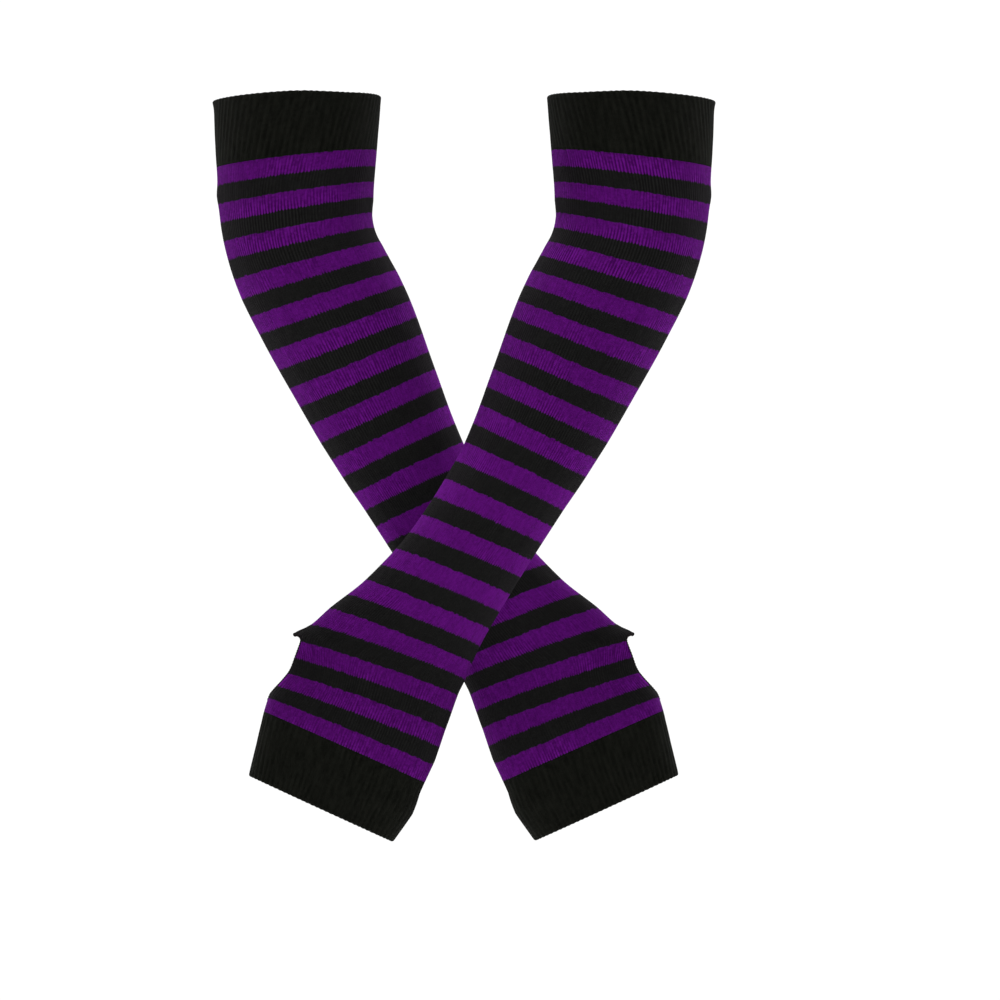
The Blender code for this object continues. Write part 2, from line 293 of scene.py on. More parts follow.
PHOTO_MM_PER_PIXEL = 0.51
PHOTO_PIXELS = 1000
PHOTO_MIDLINE = 464  # the pixel column of x = 0
PHOTO_TOP = 98  # the pixel row of z = 0
SCALE_PLANE = -15.0  # the depth at which the photo's scale holds
CAMERA_DISTANCE = 12.0
SENSOR_WIDTH = 36.0
SURROUND_LIGHT = 0.06  # how strongly the white surroundings light the pair
SURROUND_SEEN = 1.05  # and how bright they look, where 1 is just white
SOFTBOX_SIZE = 2.2
SOFTBOX_DISTANCE = 4.0
LIT_PLACE = (0.0, 0.0, -0.2)  # where the softboxes point
FLOOR_LEVEL = -1.1
FLOOR_SIZE = 12.0
FLOOR_DARK = (0.90, 0.90, 0.90)
FLOOR_LIGHT = (0.93, 0.93, 0.93)


# ---------------- form


def section_values(stripe):
    """The columns of SECTIONS at any places, on smooth curves through its rows."""
    table = np.array(SECTIONS)
    places = table[:, 0]
    last = len(places) - 1
    before = np.maximum(np.arange(last + 1) - 1, 0)
    after = np.minimum(np.arange(last + 1) + 1, last)
    slopes = (table[after] - table[before]) / (places[after] - places[before])[:, None]
    stripe = np.asarray(stripe, dtype=float)
    low = np.clip(np.searchsorted(places, stripe) - 1, 0, last - 1)
    span = places[low + 1] - places[low]
    t = np.clip((stripe - places[low]) / span, -0.5, 1.5)[..., None]
    span = span[..., None]
    values = (
        (2 * t**3 - 3 * t**2 + 1) * table[low]
        + (t**3 - 2 * t**2 + t) * span * slopes[low]
        + (3 * t**2 - 2 * t**3) * table[low + 1]
        + (t**3 - t**2) * span * slopes[low + 1]
    )
    return Section(*np.moveaxis(values, -1, 0))


def section_points(stripe, angle, side):
    """Points of the sections: angle 0 is the thumb's side, and a quarter turn on is the front."""
    section = section_values(stripe)
    power = 2 / section.squareness
    cosine, sine = np.cos(angle), np.sin(angle)
    across = -np.sign(cosine) * np.abs(cosine) ** power * section.width / 2
    forward = np.sign(sine) * np.abs(sine) ** power
    tilt = np.radians(section.tilt)
    rise = forward * section.rise
    x = section.x + across * np.cos(tilt) - rise * np.sin(tilt)
    z = section.z + across * np.sin(tilt) + rise * np.cos(tilt)
    reach = section.lean + side * ARMS_APART * section.spread
    return np.stack([side * x, -reach - forward * section.depth / 2, z], axis=-1)


class Arm:
    """The worn form of one arm warmer, read at any place along it and any share of the way round."""

    def __init__(self, side):
        self.side = side
        self.places = np.linspace(TOP_RIM - FORM_MARGIN, PALM_RIM + FORM_MARGIN, FORM_ROWS)
        angles = np.linspace(0, 2 * math.pi, FORM_COLUMNS + 1)
        rings = section_points(self.places[:, None], angles[None, :], side)
        steps = np.linalg.norm(np.diff(rings, axis=1), axis=2)
        lengths = np.pad(np.cumsum(steps, axis=1), ((0, 0), (1, 0)))
        self.girths = lengths[:, -1]
        shares = np.linspace(0, 1, FORM_COLUMNS + 1)
        even = np.array([np.interp(shares, row / row[-1], angles) for row in lengths])
        self.points = section_points(self.places[:, None], even, side)
        along = np.gradient(self.points, axis=0)
        around = np.concatenate([self.points[:, -2:-1], self.points, self.points[:, 1:2]], axis=1)
        inwards = np.cross(around[:, 2:] - around[:, :-2], along) * side
        self.inwards = inwards / np.linalg.norm(inwards, axis=2, keepdims=True)

    def girth(self, stripe):
        return np.interp(stripe, self.places, self.girths)

    def read(self, grid, stripe, share):
        row = (stripe - self.places[0]) / (self.places[1] - self.places[0])
        row = np.clip(row, 0, FORM_ROWS - 1.001)
        column = np.mod(share, 1.0) * FORM_COLUMNS
        i, j = row.astype(int), np.minimum(column.astype(int), FORM_COLUMNS - 1)
        down, on = (row - i)[..., None], (column - j)[..., None]
        upper = grid[i, j] * (1 - on) + grid[i, j + 1] * on
        lower = grid[i + 1, j] * (1 - on) + grid[i + 1, j + 1] * on
        return upper * (1 - down) + lower * down

    def at(self, stripe, share, inset=0.0):
        """Points in metres, as many millimetres inside the form as inset says."""
        stripe, share, inset = np.broadcast_arrays(stripe, share, inset)
        outer = self.read(self.points, stripe, share)
        return (outer + self.read(self.inwards, stripe, share) * inset[..., None]) * MM

    def from_thumb(self, stripe, share):
        """Distance along the cloth from the thumb's line, in mm: plus towards the front."""
        return np.where(share <= 0.5, share, share - 1) * self.girth(stripe)


def smooth_step(t):
    t = np.clip(t, 0, 1)
    return t * t * (3 - 2 * t)


def uneven(wales, courses, changes):
    """Smooth random numbers from -1 to 1, as far as a course past each rim."""
    columns = round(WALES / changes.wales)
    first = TOP_RIM * STRIPE_COURSES - 1
    rows = math.ceil((PALM_RIM * STRIPE_COURSES + 1 - first) / changes.courses) + 2
    lumps = np.random.default_rng(changes.seed).uniform(-1, 1, (rows, columns))
    x, y = wales / WALES * columns, (courses - first) / changes.courses
    i, j = np.floor(y).astype(int), np.floor(x).astype(int)
    down, on = smooth_step(y - i), smooth_step(x - j)
    j, beside = j % columns, (j + 1) % columns
    upper = lumps[i, j] * (1 - on) + lumps[i, beside] * on
    lower = lumps[i + 1, j] * (1 - on) + lumps[i + 1, beside] * on
    return upper * (1 - down) + lower * down


def strayed(wales, courses):
    """The wales' shares of the way round: they lean near the top, and each strays a little."""
    above = np.maximum(LEAN_END - courses / STRIPE_COURSES, 0) / (LEAN_END - TOP_RIM)
    places = (wales + WANDER * uneven(wales, courses, WANDER_CHANGES)) / WALES
    return np.mod(places - TOP_LEAN * above**LEAN_CURVE, 1.0)


def sides_proud(stripe, share):
    """How far the knit stands proud at its outer and inner sides, in mm."""
    table = np.array(PROUD)
    outer, inner = (np.interp(stripe, table[:, 0], table[:, column]) for column in (1, 2))
    turn = np.cos(2 * math.pi * share)
    return outer * np.clip(-turn, 0, 1) ** 2 + inner * np.clip(turn, 0, 1) ** 2


def soft_dips(arm, stripe, share):
    """How deep the cloth lies under the solids' form, in mm: minus where it stands proud."""
    wales, courses = share * WALES, stripe * STRIPE_COURSES
    depth = SURFACE_UNEVEN * (0.5 + 0.5 * uneven(wales, courses, SURFACE_CHANGES))
    depth = depth - sides_proud(stripe, share)
    for crease in CREASES:
        away = np.mod(share - crease.share + 0.5, 1.0) - 0.5
        across, down = away * arm.girth(stripe), (stripe - crease.stripe) * STRIPE_HEIGHT
        turn = math.radians(crease.turn)
        along = across * math.cos(turn) + down * math.sin(turn)
        aside = down * math.cos(turn) - across * math.sin(turn)
        depth = depth + crease.depth * np.exp(
            -((along / crease.length * 2) ** 2) - (aside / crease.width) ** 2
        )
    return depth


# ---------------- the thumb slit


def slit_outline(grow):
    """The slit's front side, grown outwards, as (half opening, place) in mm from its upper end."""
    half_length = (THUMB_END - THUMB_START) / 2 * STRIPE_HEIGHT
    middle = (THUMB_START + THUMB_END) / 2 * STRIPE_HEIGHT
    along = -np.cos(np.linspace(0, math.pi, SLIT_STEPS + 1))
    down = (along + 1) / 2
    blunt = np.sqrt(np.clip(1 - (1 - down) ** THUMB_BLUNTNESS, 0, 1))
    taper = np.clip(1 - down**THUMB_TAPER, 0, 1) ** THUMB_END_ROUNDING
    points = np.stack([THUMB_HALF_GAP * blunt * taper, along * half_length + middle], axis=1)
    tangents = np.gradient(points, axis=0)
    tangents[0], tangents[-1] = (1, 0), (-1, 0)
    tangents /= np.linalg.norm(tangents, axis=1, keepdims=True)
    return points + np.stack([tangents[:, 1], -tangents[:, 0]], axis=1) * grow


def nearest_on(outline, points):
    """The nearest place on an open outline to each point."""
    starts = outline[:-1]
    steps = outline[1:] - starts
    offsets = points[:, None, :] - starts[None]
    t = np.clip((offsets * steps).sum(2) / np.maximum((steps**2).sum(1), 1e-12), 0, 1)
    near = starts[None] + steps[None] * t[..., None]
    best = np.argmin(((near - points[:, None, :]) ** 2).sum(2), axis=1)
    return near[np.arange(len(points)), best]


def push_wales(arm, stripe, share):
    """The shares of points whose wales are pushed aside by the thumb."""
    distance = arm.from_thumb(stripe, share)
    size = np.abs(distance)
    push = smooth_step((stripe - WALE_PUSH_START) / WALE_PUSH_RISE)
    left = (WALE_PUSH_END - stripe) / (WALE_PUSH_END - WALE_PUSH_START)
    push = push * smooth_step(left * WALE_PUSH_FADE)
    reach = np.clip((WALE_PUSH_REACH - size) / (WALE_PUSH_REACH - WALE_PUSH_FULL), 0, 1)
    moved = size + WALE_PUSH * push * smooth_step(size / WALE_PUSH_FULL) * reach
    return np.mod(np.sign(distance) * moved / arm.girth(stripe), 1.0)


def drawn_up(arm, stripe, share):
    """The stripes of points, moved up where the cloth is drawn up behind the slit's upper end."""
    behind = -arm.from_thumb(stripe, share)
    lift = smooth_step(behind / DRAWN_UP_FULL)
    lift = lift * smooth_step((DRAWN_UP_REACH - behind) / (DRAWN_UP_REACH - DRAWN_UP_FULL))
    near = np.exp(-(((stripe - THUMB_START) / DRAWN_UP_LENGTH) ** 2))
    return stripe - DRAWN_UP * lift * near


def cut_slit(arm, stripe, share):
    """Opens the slit in a grid: draws points to its edge and says which faces stay."""
    outline = slit_outline(EDGE_OVERHANG)
    distance = arm.from_thumb(stripe, share)
    place = stripe * STRIPE_HEIGHT
    opening = np.interp(place, outline[:, 1], outline[:, 0])
    inside = np.abs(distance) < opening + SLIT_SNAP
    inside &= (place > outline[0, 1]) & (place < outline[-1, 1])
    beside = np.roll(inside, -1, axis=1)
    keep = ~(inside[:-1] & inside[1:] & beside[:-1] & beside[1:])
    touched = np.zeros_like(inside)
    for rows in (slice(None, -1), slice(1, None)):
        touched[rows] |= keep | np.roll(keep, 1, axis=1)
    edge = inside & touched
    found = nearest_on(outline, np.stack([np.abs(distance[edge]), place[edge]], axis=1))
    stripe, share = stripe.copy(), share.copy()
    stripe[edge] = found[:, 1] / STRIPE_HEIGHT
    signs = np.where(distance[edge] < 0, -1.0, 1.0)
    share[edge] = np.mod(signs * found[:, 0] / arm.girth(stripe[edge]), 1.0)
    return stripe, share, keep


def hole_ring(grid, keep):
    """The points round the hole of a cut grid, in order from the thumb's line."""
    following = {}
    rows, columns = keep.shape
    for i, j in zip(*np.nonzero(~keep)):
        on = (j + 1) % columns
        corners = [(i, j), (i + 1, j), (i + 1, on), (i, on)]
        beside = [(i, j - 1), (i + 1, j), (i, on), (i - 1, j)]
        for k in range(4):
            if keep[beside[k]]:
                following[corners[k]] = corners[(k + 1) % 4]
    ring = [min(following)]
    while following[ring[-1]] != ring[0]:
        ring.append(following[ring[-1]])
    return np.array([grid[corner] for corner in ring])


# ---------------- shells of cloth


def put_in_scene(name, data):
    """A new object, in the scene."""
    obj = bpy.data.objects.new(name, data)
    bpy.context.scene.collection.objects.link(obj)
    return obj


class Shell:
    """A mesh of cloth, whose points know their wale and course.

    Material 0 is the cloth's outer face, and material 1 its inner one.
    """

    def __init__(self):
        self.points = []
        self.knit = []
        self.faces = []
        self.materials = []
        self.smooth = []
        self.count = 0

    def add_points(self, points, wale, course):
        """Adds a grid of points and returns their numbers."""
        wale, course = np.broadcast_arrays(wale, course)
        self.points.append(points.reshape(-1, 3))
        self.knit.append(np.stack([wale.ravel(), course.ravel()], axis=1))
        numbers = self.count + np.arange(wale.size).reshape(wale.shape)
        self.count += wale.size
        return numbers

    def add_faces(self, faces, material=0, smooth=True):
        self.faces.extend(faces)
        self.materials.extend([material] * len(faces))
        self.smooth.extend([smooth] * len(faces))

    def join_rows(self, grid, keep=None, inner=False):
        """Faces between the rows of a grid that closes on itself."""
        following = np.roll(grid, -1, axis=1)
        corners = np.stack([grid[:-1], grid[1:], following[1:], following[:-1]], axis=-1)
        if inner:
            corners = corners[..., ::-1]
        corners = corners.reshape(-1, 4) if keep is None else corners[keep]
        self.add_faces(corners.tolist(), material=int(inner))

    def join_rings(self, many, few, upper, smooth=False):
        """Faces between a ring of many points and one of few that divides it evenly."""
        ratio = len(many) // len(few)
        faces = []
        for i in range(len(few)):
            fan = [int(many[(i * ratio + k) % len(many)]) for k in range(ratio + 1)]
            face = fan + [int(few[(i + 1) % len(few)]), int(few[i])]
            faces.append(face if upper else face[::-1])
        self.add_faces(faces, material=int(smooth), smooth=smooth)

    def bridge(self, outer, inner):
        """Triangles between two rings that start side by side and run the same way."""
        points = np.concatenate(self.points)
        shares = []
        for ring in (outer, inner):
            steps = np.linalg.norm(points[np.roll(ring, -1)] - points[ring], axis=1)
            shares.append(np.cumsum(steps) / steps.sum())
        faces = []
        i = j = 0
        while i < len(outer) or j < len(inner):
            a, b = int(outer[i % len(outer)]), int(inner[j % len(inner)])
            if j == len(inner) or (i < len(outer) and shares[0][i] <= shares[1][j]):
                i += 1
                faces.append([a, int(outer[i % len(outer)]), b])
            else:
                j += 1
                faces.append([a, int(inner[j % len(inner)]), b])
        self.add_faces(faces, smooth=False)

    def build(self, name, side, materials):
        """A mesh object with the cloth's wale and course as its map."""
        points = np.concatenate(self.points)
        faces = self.faces if side > 0 else [face[::-1] for face in self.faces]
        mesh = bpy.data.meshes.new(name)
        mesh.from_pydata(points.tolist(), [], faces)
        mesh.polygons.foreach_set("material_index", np.array(self.materials, dtype=np.int32))
        mesh.polygons.foreach_set("use_smooth", np.array(self.smooth, dtype=bool))
        mesh.uv_layers.new(name=KNIT_MAP)
        mesh.uv_layers[KNIT_MAP].data.foreach_set("uv", self.corner_map(mesh).ravel())
        for material in materials:
            mesh.materials.append(material)
        mesh.update()
        return put_in_scene(name, mesh)

    def corner_map(self, mesh):
        """Wale and course at each corner, with a whole round added where a face spans its start."""
        corners = np.empty(len(mesh.loops), dtype=np.int32)
        mesh.loops.foreach_get("vertex_index", corners)
        starts = np.empty(len(mesh.polygons), dtype=np.int32)
        mesh.polygons.foreach_get("loop_start", starts)
        knit = np.concatenate(self.knit)[corners]
        spans = np.maximum.reduceat(knit[:, 0], starts) - np.minimum.reduceat(knit[:, 0], starts)
        sizes = np.diff(np.append(starts, len(corners)))
        spans = np.repeat(spans > WALES / 2, sizes)
        knit[:, 0] += np.where(spans & (knit[:, 0] < WALES / 2), WALES, 0)
        return knit.astype(np.float32)


# ---------------- pieces


def wale_relief(wales, courses):
    """How deep the cloth lies between the wales of plain knit."""
    depth = WALE_DEPTH * (1 + RELIEF_UNEVEN * uneven(wales, courses, RELIEF_CHANGES))
    return depth * (0.5 - 0.5 * np.cos(2 * math.pi * wales))


def rib_relief(wales, courses, strength):
    """How deep the cloth lies: plain knit's wales, or at full strength the ribs, one wale in two."""
    depth = RIB_DEPTH * (1 - RIB_UNEVEN * (0.5 + 0.5 * uneven(wales, courses, RIB_CHANGES)))
    ribs = depth * (0.5 - 0.5 * np.cos(math.pi * wales)) ** RIB_CREST
    return wale_relief(wales, courses) * (1 - strength) + ribs * strength


def sleeve_courses(spacing):
    """The courses that get a row of points: every one beside the thumb slit."""
    last = STRIPES * STRIPE_COURSES
    start = round((THUMB_START - FINE_ABOVE_SLIT) * STRIPE_COURSES)
    end = round((THUMB_END + FINE_BELOW_SLIT) * STRIPE_COURSES)
    courses = [c for c in range(last + 1) if c % spacing == 0 or start <= c <= end]
    courses = np.array(courses, dtype=float)
    courses[0] += SEAM_GAP / 2 / STRIPE_HEIGHT * STRIPE_COURSES
    courses[-1] -= SEAM_GAP / 2 / STRIPE_HEIGHT * STRIPE_COURSES
    return courses


def add_sleeve_face(shell, arm, points_per_wale, spacing, inner):
    """One face of the sleeve, with the thumb slit open. Returns its points and the slit's ring."""
    wales, courses = np.meshgrid(
        np.arange(WALES * points_per_wale) / points_per_wale, sleeve_courses(spacing)
    )
    stripe = courses / STRIPE_COURSES
    share = push_wales(arm, stripe, strayed(wales, courses))
    stripe, share, keep = cut_slit(arm, stripe, share)
    stripe = drawn_up(arm, stripe, share)
    inset = soft_dips(arm, stripe, share)
    inset = inset + (SLEEVE_WALL if inner else wale_relief(wales, courses))
    grid = shell.add_points(arm.at(stripe, share, inset), wales, courses)
    shell.join_rows(grid, keep, inner)
    return grid, hole_ring(grid, keep)


def make_sleeve(arm, name, materials):
    """The striped sleeve as one knitted tube, with a wall and the thumb slit."""
    shell = Shell()
    outer, outer_hole = add_sleeve_face(shell, arm, SLEEVE_POINTS_PER_WALE, SLEEVE_ROW, False)
    inner, inner_hole = add_sleeve_face(shell, arm, 1, SLEEVE_INNER_ROW, True)
    shell.join_rings(outer[0], inner[0], upper=True)
    shell.join_rings(outer[-1], inner[-1], upper=False)
    shell.bridge(outer_hole, inner_hole)
    return shell.build(name, arm.side, materials)


def add_cuff_face(shell, arm, wales, stripe, inset, rim):
    """One face of a cuff, drawn in towards its rim."""
    courses = stripe * STRIPE_COURSES
    share = strayed(wales, courses)
    from_rim = np.abs(stripe - rim) * STRIPE_HEIGHT
    drawn = RIM_DRAW * np.clip(1 - from_rim / RIM_DRAWN, 0, 1) ** 2
    points = arm.at(stripe, share, inset + drawn + soft_dips(arm, stripe, share))
    return shell.add_points(points, wales, courses)


def top_rim_dip(share):
    """How far the top rim lies inside its section's line: it sags at the inner side."""
    inner = np.cos(2 * math.pi * share)
    return TOP_RIM_SAG * smooth_step((inner - TOP_SAG_START) / TOP_SAG_SPAN) - TOP_RIM_RISE


def palm_rim_dip(share):
    """How far the palm rim lies inside its section's line: it reaches out at the thumb's side."""
    return -PALM_RIM_SLANT * np.cos(2 * math.pi * share)


def rounded_rim(wales, rim, rim_place, per_mm):
    """The rows of a cuff's rounded rim, from its inner face to its outer one."""
    relief = rib_relief(wales, rim * STRIPE_COURSES, 1.0)
    radius = (CUFF_WALL - relief) / 2
    dip = RIM_SCALLOP * (0.5 - 0.5 * np.cos(math.pi * wales))
    rows = []
    for turn in np.linspace(0, math.pi, RIM_STEPS + 1):
        place = rim_place + per_mm * (dip + radius * (1 - math.sin(turn)))
        rows.append((place, relief + radius * (1 + math.cos(turn))))
    return rows


def ribbed_rows(wales, first, seam, count):
    """The rows of a cuff's outer face, whose ribs turn into plain knit at the seam."""
    rows = []
    for step in np.linspace(0, 1, count):
        place = first + (seam - first) * step
        strength = smooth_step(np.abs(place - seam) * STRIPE_COURSES / RIB_FADE)
        rows.append((place, rib_relief(wales, place * STRIPE_COURSES, strength)))
    return rows


def make_cuff(arm, name, rim, seam, rim_dip, materials):
    """A ribbed cuff from its rounded rim to its join with the sleeve, over a plain inside."""
    down = math.copysign(1.0, seam - rim)
    seam -= down * SEAM_GAP / 2 / STRIPE_HEIGHT
    length = np.linalg.norm(arm.at(seam, 0.25) - arm.at(rim, 0.25)) / MM
    per_mm = (seam - rim) / length
    wales = np.arange(WALES * CUFF_POINTS_PER_WALE) / CUFF_POINTS_PER_WALE
    rim_place = rim + per_mm * rim_dip(wales / WALES)
    first = rim_place + per_mm * CUFF_WALL * CUFF_FIRST_ROW
    count = round(abs(seam - rim) * STRIPE_COURSES * CUFF_ROWS_PER_COURSE)
    rows = rounded_rim(wales, rim, rim_place, per_mm) + ribbed_rows(wales, first, seam, count)
    stripe, inset = (np.stack(values) for values in zip(*rows))
    shell = Shell()
    outer = add_cuff_face(shell, arm, wales[None, :], stripe, inset, rim)
    wales, steps = np.meshgrid(np.arange(WALES), np.linspace(0, 1, CUFF_INNER_ROWS))
    first = rim + per_mm * (rim_dip(wales / WALES) + CUFF_WALL * CUFF_FIRST_INNER_ROW)
    inner = add_cuff_face(shell, arm, wales, first + (seam - first) * steps, CUFF_WALL, rim)
    if down < 0:
        outer, inner = outer[::-1], inner[::-1]
    shell.join_rows(outer)
    shell.join_rows(inner, inner=True)
    shell.join_rings(outer[0], inner[0], upper=True, smooth=down > 0)
    shell.join_rings(outer[-1], inner[-1], upper=False, smooth=down < 0)
    return shell.build(name, arm.side, materials)


def edge_loop(arm):
    """The slit's whole edge as a closed path, with the length in metres up to each point."""
    half = slit_outline(EDGE_OVERHANG)
    path = np.concatenate([half, half[-2:0:-1] * (-1, 1)])
    stripe = path[:, 1] / STRIPE_HEIGHT
    spots = arm.at(stripe, path[:, 0] / arm.girth(stripe))
    steps = np.linalg.norm(np.roll(spots, -1, axis=0) - spots, axis=1)
    return np.vstack([path, path[:1]]), np.pad(np.cumsum(steps), (1, 0))


def edge_path(loop, lengths, count):
    """Places evenly along the slit's edge, with the way out from the opening at each."""
    wanted = np.linspace(0, lengths[-1], count, endpoint=False)
    path = np.stack([np.interp(wanted, lengths, loop[:, k]) for k in range(2)], axis=1)
    tangents = np.roll(path, -1, axis=0) - np.roll(path, 1, axis=0)
    tangents /= np.linalg.norm(tangents, axis=1, keepdims=True)
    return path, np.stack([tangents[:, 1], -tangents[:, 0]], axis=1)


def around_edge(arm, path, outwards, angle, grow=0.0):
    """Points of the roll round the slit's edge, at angles round the cut edge of the cloth."""
    moved = path + outwards * (np.cos(angle) * (EDGE_HALF_WIDTH + grow))[..., None]
    stripe = moved[..., 1] / STRIPE_HEIGHT
    share = np.mod(moved[..., 0] / arm.girth(stripe), 1.0)
    stripe = drawn_up(arm, stripe, share)
    inset = SLEEVE_WALL / 2 - np.sin(angle) * (EDGE_HALF_DEPTH + grow)
    return arm.at(stripe, share, inset + soft_dips(arm, stripe, share))


def tube_faces(rings, sides, start):
    """Faces of a closed tube whose last ring joins its first."""
    i, j = np.meshgrid(np.arange(rings), np.arange(sides), indexing="ij")
    on, up = (i + 1) % rings, (j + 1) % sides
    corners = np.stack([i * sides + j, i * sides + up, on * sides + up, on * sides + j], axis=-1)
    return (corners.reshape(-1, 4) + start).tolist()


def roll_rings(arm, path, outwards):
    """Rings of points round the roll over the slit's cut edge."""
    angles = np.linspace(0, 2 * math.pi, EDGE_AROUND, endpoint=False)[None, :]
    return around_edge(arm, path[:, None, :], outwards[:, None, :], angles)


def thread_rings(arm, path, outwards):
    """Rings of points round the thread, which is wrapped round the roll turn by turn."""
    turn = 2 * math.pi * np.arange(len(path)) / THREAD_POINTS
    thread = around_edge(arm, path, outwards, turn)
    within = around_edge(arm, path, outwards, turn, -EDGE_HALF_DEPTH)
    tangents = np.roll(thread, -1, axis=0) - np.roll(thread, 1, axis=0)
    tangents /= np.linalg.norm(tangents, axis=1, keepdims=True)
    out = thread - within
    out -= tangents * (out * tangents).sum(1, keepdims=True)
    out /= np.linalg.norm(out, axis=1, keepdims=True)
    across = np.cross(tangents, out)
    sides = np.linspace(0, 2 * math.pi, THREAD_SIDES, endpoint=False)[None, :, None]
    return thread[:, None] + THREAD_RADIUS * MM * (
        np.cos(sides) * out[:, None] + np.sin(sides) * across[:, None]
    )


def make_thumb_edge(arm, name, material):
    """The overlocked edge of the slit: a roll over the cut edge, wrapped in thread."""
    loop, lengths = edge_loop(arm)
    turns = round(lengths[-1] / MM / THREAD_PITCH)
    roll = roll_rings(arm, *edge_path(loop, lengths, turns * EDGE_RINGS))
    rings = thread_rings(arm, *edge_path(loop, lengths, turns * THREAD_POINTS))
    points = np.concatenate([roll.reshape(-1, 3), rings.reshape(-1, 3)])
    faces = tube_faces(len(roll), EDGE_AROUND, 0)
    if arm.side < 0:
        faces = [face[::-1] for face in faces]
    faces += tube_faces(len(rings), THREAD_SIDES, len(roll) * EDGE_AROUND)
    mesh = bpy.data.meshes.new(name)
    mesh.from_pydata(points.tolist(), [], faces)
    mesh.polygons.foreach_set("use_smooth", np.ones(len(faces), dtype=bool))
    mesh.materials.append(material)
    return put_in_scene(name, mesh)


# ---------------- materials


class Value:
    """A number inside a material, which can be calculated with."""

    def __init__(self, graph, socket):
        self.graph = graph
        self.socket = socket

    def math(self, operation, *others):
        return self.graph.math(operation, self, *others)

    def __add__(self, other):
        return self.math("ADD", other)

    def __sub__(self, other):
        return self.math("SUBTRACT", other)

    def __mul__(self, other):
        return self.math("MULTIPLY", other)

    def __truediv__(self, other):
        return self.math("DIVIDE", other)

    def __mod__(self, other):
        return self.math("FLOORED_MODULO", other)

    def __pow__(self, other):
        return self.math("POWER", other)

    def less_from(self, other):
        """Another number, less this one."""
        return self * -1 + other

    def size(self):
        return self.math("ABSOLUTE")

    def cosine(self):
        return self.math("COSINE")

    def within(self, low, high):
        """0 at low and below, 1 at high and above, and smooth between them."""
        node = self.graph.add("ShaderNodeMapRange", Value=self)
        node.interpolation_type = "SMOOTHSTEP"
        node.inputs["From Min"].default_value = low
        node.inputs["From Max"].default_value = high
        return Value(self.graph, node.outputs["Result"])


class Graph:
    """The nodes of one material, added by short calls."""

    def __init__(self, name):
        self.material = bpy.data.materials.new(name)
        self.material.use_nodes = True
        self.tree = self.material.node_tree
        self.tree.nodes.clear()

    def put(self, socket, value):
        if isinstance(value, Value):
            self.tree.links.new(value.socket, socket)
        else:
            socket.default_value = value

    def add(self, kind, **inputs):
        node = self.tree.nodes.new(kind)
        for name, value in inputs.items():
            self.put(node.inputs[name.replace("_", " ")], value)
        return node

    def math(self, operation, *values):
        node = self.add("ShaderNodeMath")
        node.operation = operation
        for socket, value in zip(node.inputs, values):
            self.put(socket, value)
        return Value(self, node.outputs[0])

    def mix(self, share, low, high):
        """A colour between low and high."""
        node = self.add("ShaderNodeMix")
        node.data_type = "RGBA"
        for socket, value in zip((node.inputs[0], node.inputs[6], node.inputs[7]), (share, low, high)):
            self.put(socket, value)
        return Value(self, node.outputs[2])

    def knit(self):
        """The wale and the course."""
        node = self.add("ShaderNodeUVMap")
        node.uv_map = KNIT_MAP
        apart = self.add("ShaderNodeSeparateXYZ", Vector=Value(self, node.outputs[0]))
        return Value(self, apart.outputs[0]) % WALES, Value(self, apart.outputs[1])

    def noise(self, scale, detail=2.0):
        """Cloudy noise through the object, from 0 to 1, with a number of lumps to a metre."""
        place = self.add("ShaderNodeTexCoord").outputs["Object"]
        node = self.add("ShaderNodeTexNoise", Vector=Value(self, place), Scale=scale, Detail=detail)
        return Value(self, node.outputs[0])

    def streaks(self, wale, course, wales, courses):
        """Noise in streaks along the wales, so many wales wide and courses long."""
        place = self.add("ShaderNodeCombineXYZ", X=wale / wales, Y=course / courses)
        node = self.add("ShaderNodeTexNoise", Vector=Value(self, place.outputs[0]), Scale=1.0)
        node.inputs["Detail"].default_value = 1.5
        return Value(self, node.outputs[0])

    def scatter(self, first, second):
        """A random number for each pair of whole numbers."""
        pair = self.add("ShaderNodeCombineXYZ", X=first, Y=second)
        node = self.add("ShaderNodeTexWhiteNoise", Vector=Value(self, pair.outputs[0]))
        return Value(self, node.outputs[0])

    def finish(self, colour, bump, bump_depth, sheen, sheen_tint, roughness=0.9, specular=0.02):
        """The cloth's shader, with bump as a height from 0 to 1 and its depth in millimetres."""
        raised = self.add("ShaderNodeBump", Height=bump)
        raised.inputs["Strength"].default_value = 1.0
        raised.inputs["Distance"].default_value = bump_depth * MM
        shader = self.add("ShaderNodeBsdfPrincipled", Normal=Value(self, raised.outputs[0]))
        self.put(shader.inputs["Base Color"], colour)
        shader.inputs["Roughness"].default_value = roughness
        shader.inputs["Specular IOR Level"].default_value = specular
        shader.inputs["Sheen Weight"].default_value = sheen
        shader.inputs["Sheen Roughness"].default_value = 0.45
        shader.inputs["Sheen Tint"].default_value = (*sheen_tint, 1.0)
        output = self.add("ShaderNodeOutputMaterial")
        self.tree.links.new(shader.outputs[0], output.inputs[0])
        return self.material


def rgba(colour):
    return (*colour, 1.0)


def stitch_legs(wale, course):
    """The height of plain knit's V stitches: two leaning legs for each wale and course."""
    across = ((wale + 0.5) % 1.0 - 0.5).size()
    rise = course.less_from(0.0) % 1.0
    middle = rise * LEG_LEAN + LEG_FOOT
    leg = ((across - middle) / LEG_HALF_WIDTH) ** 2.0
    return leg.less_from(1.0).math("MAXIMUM", 0.0)


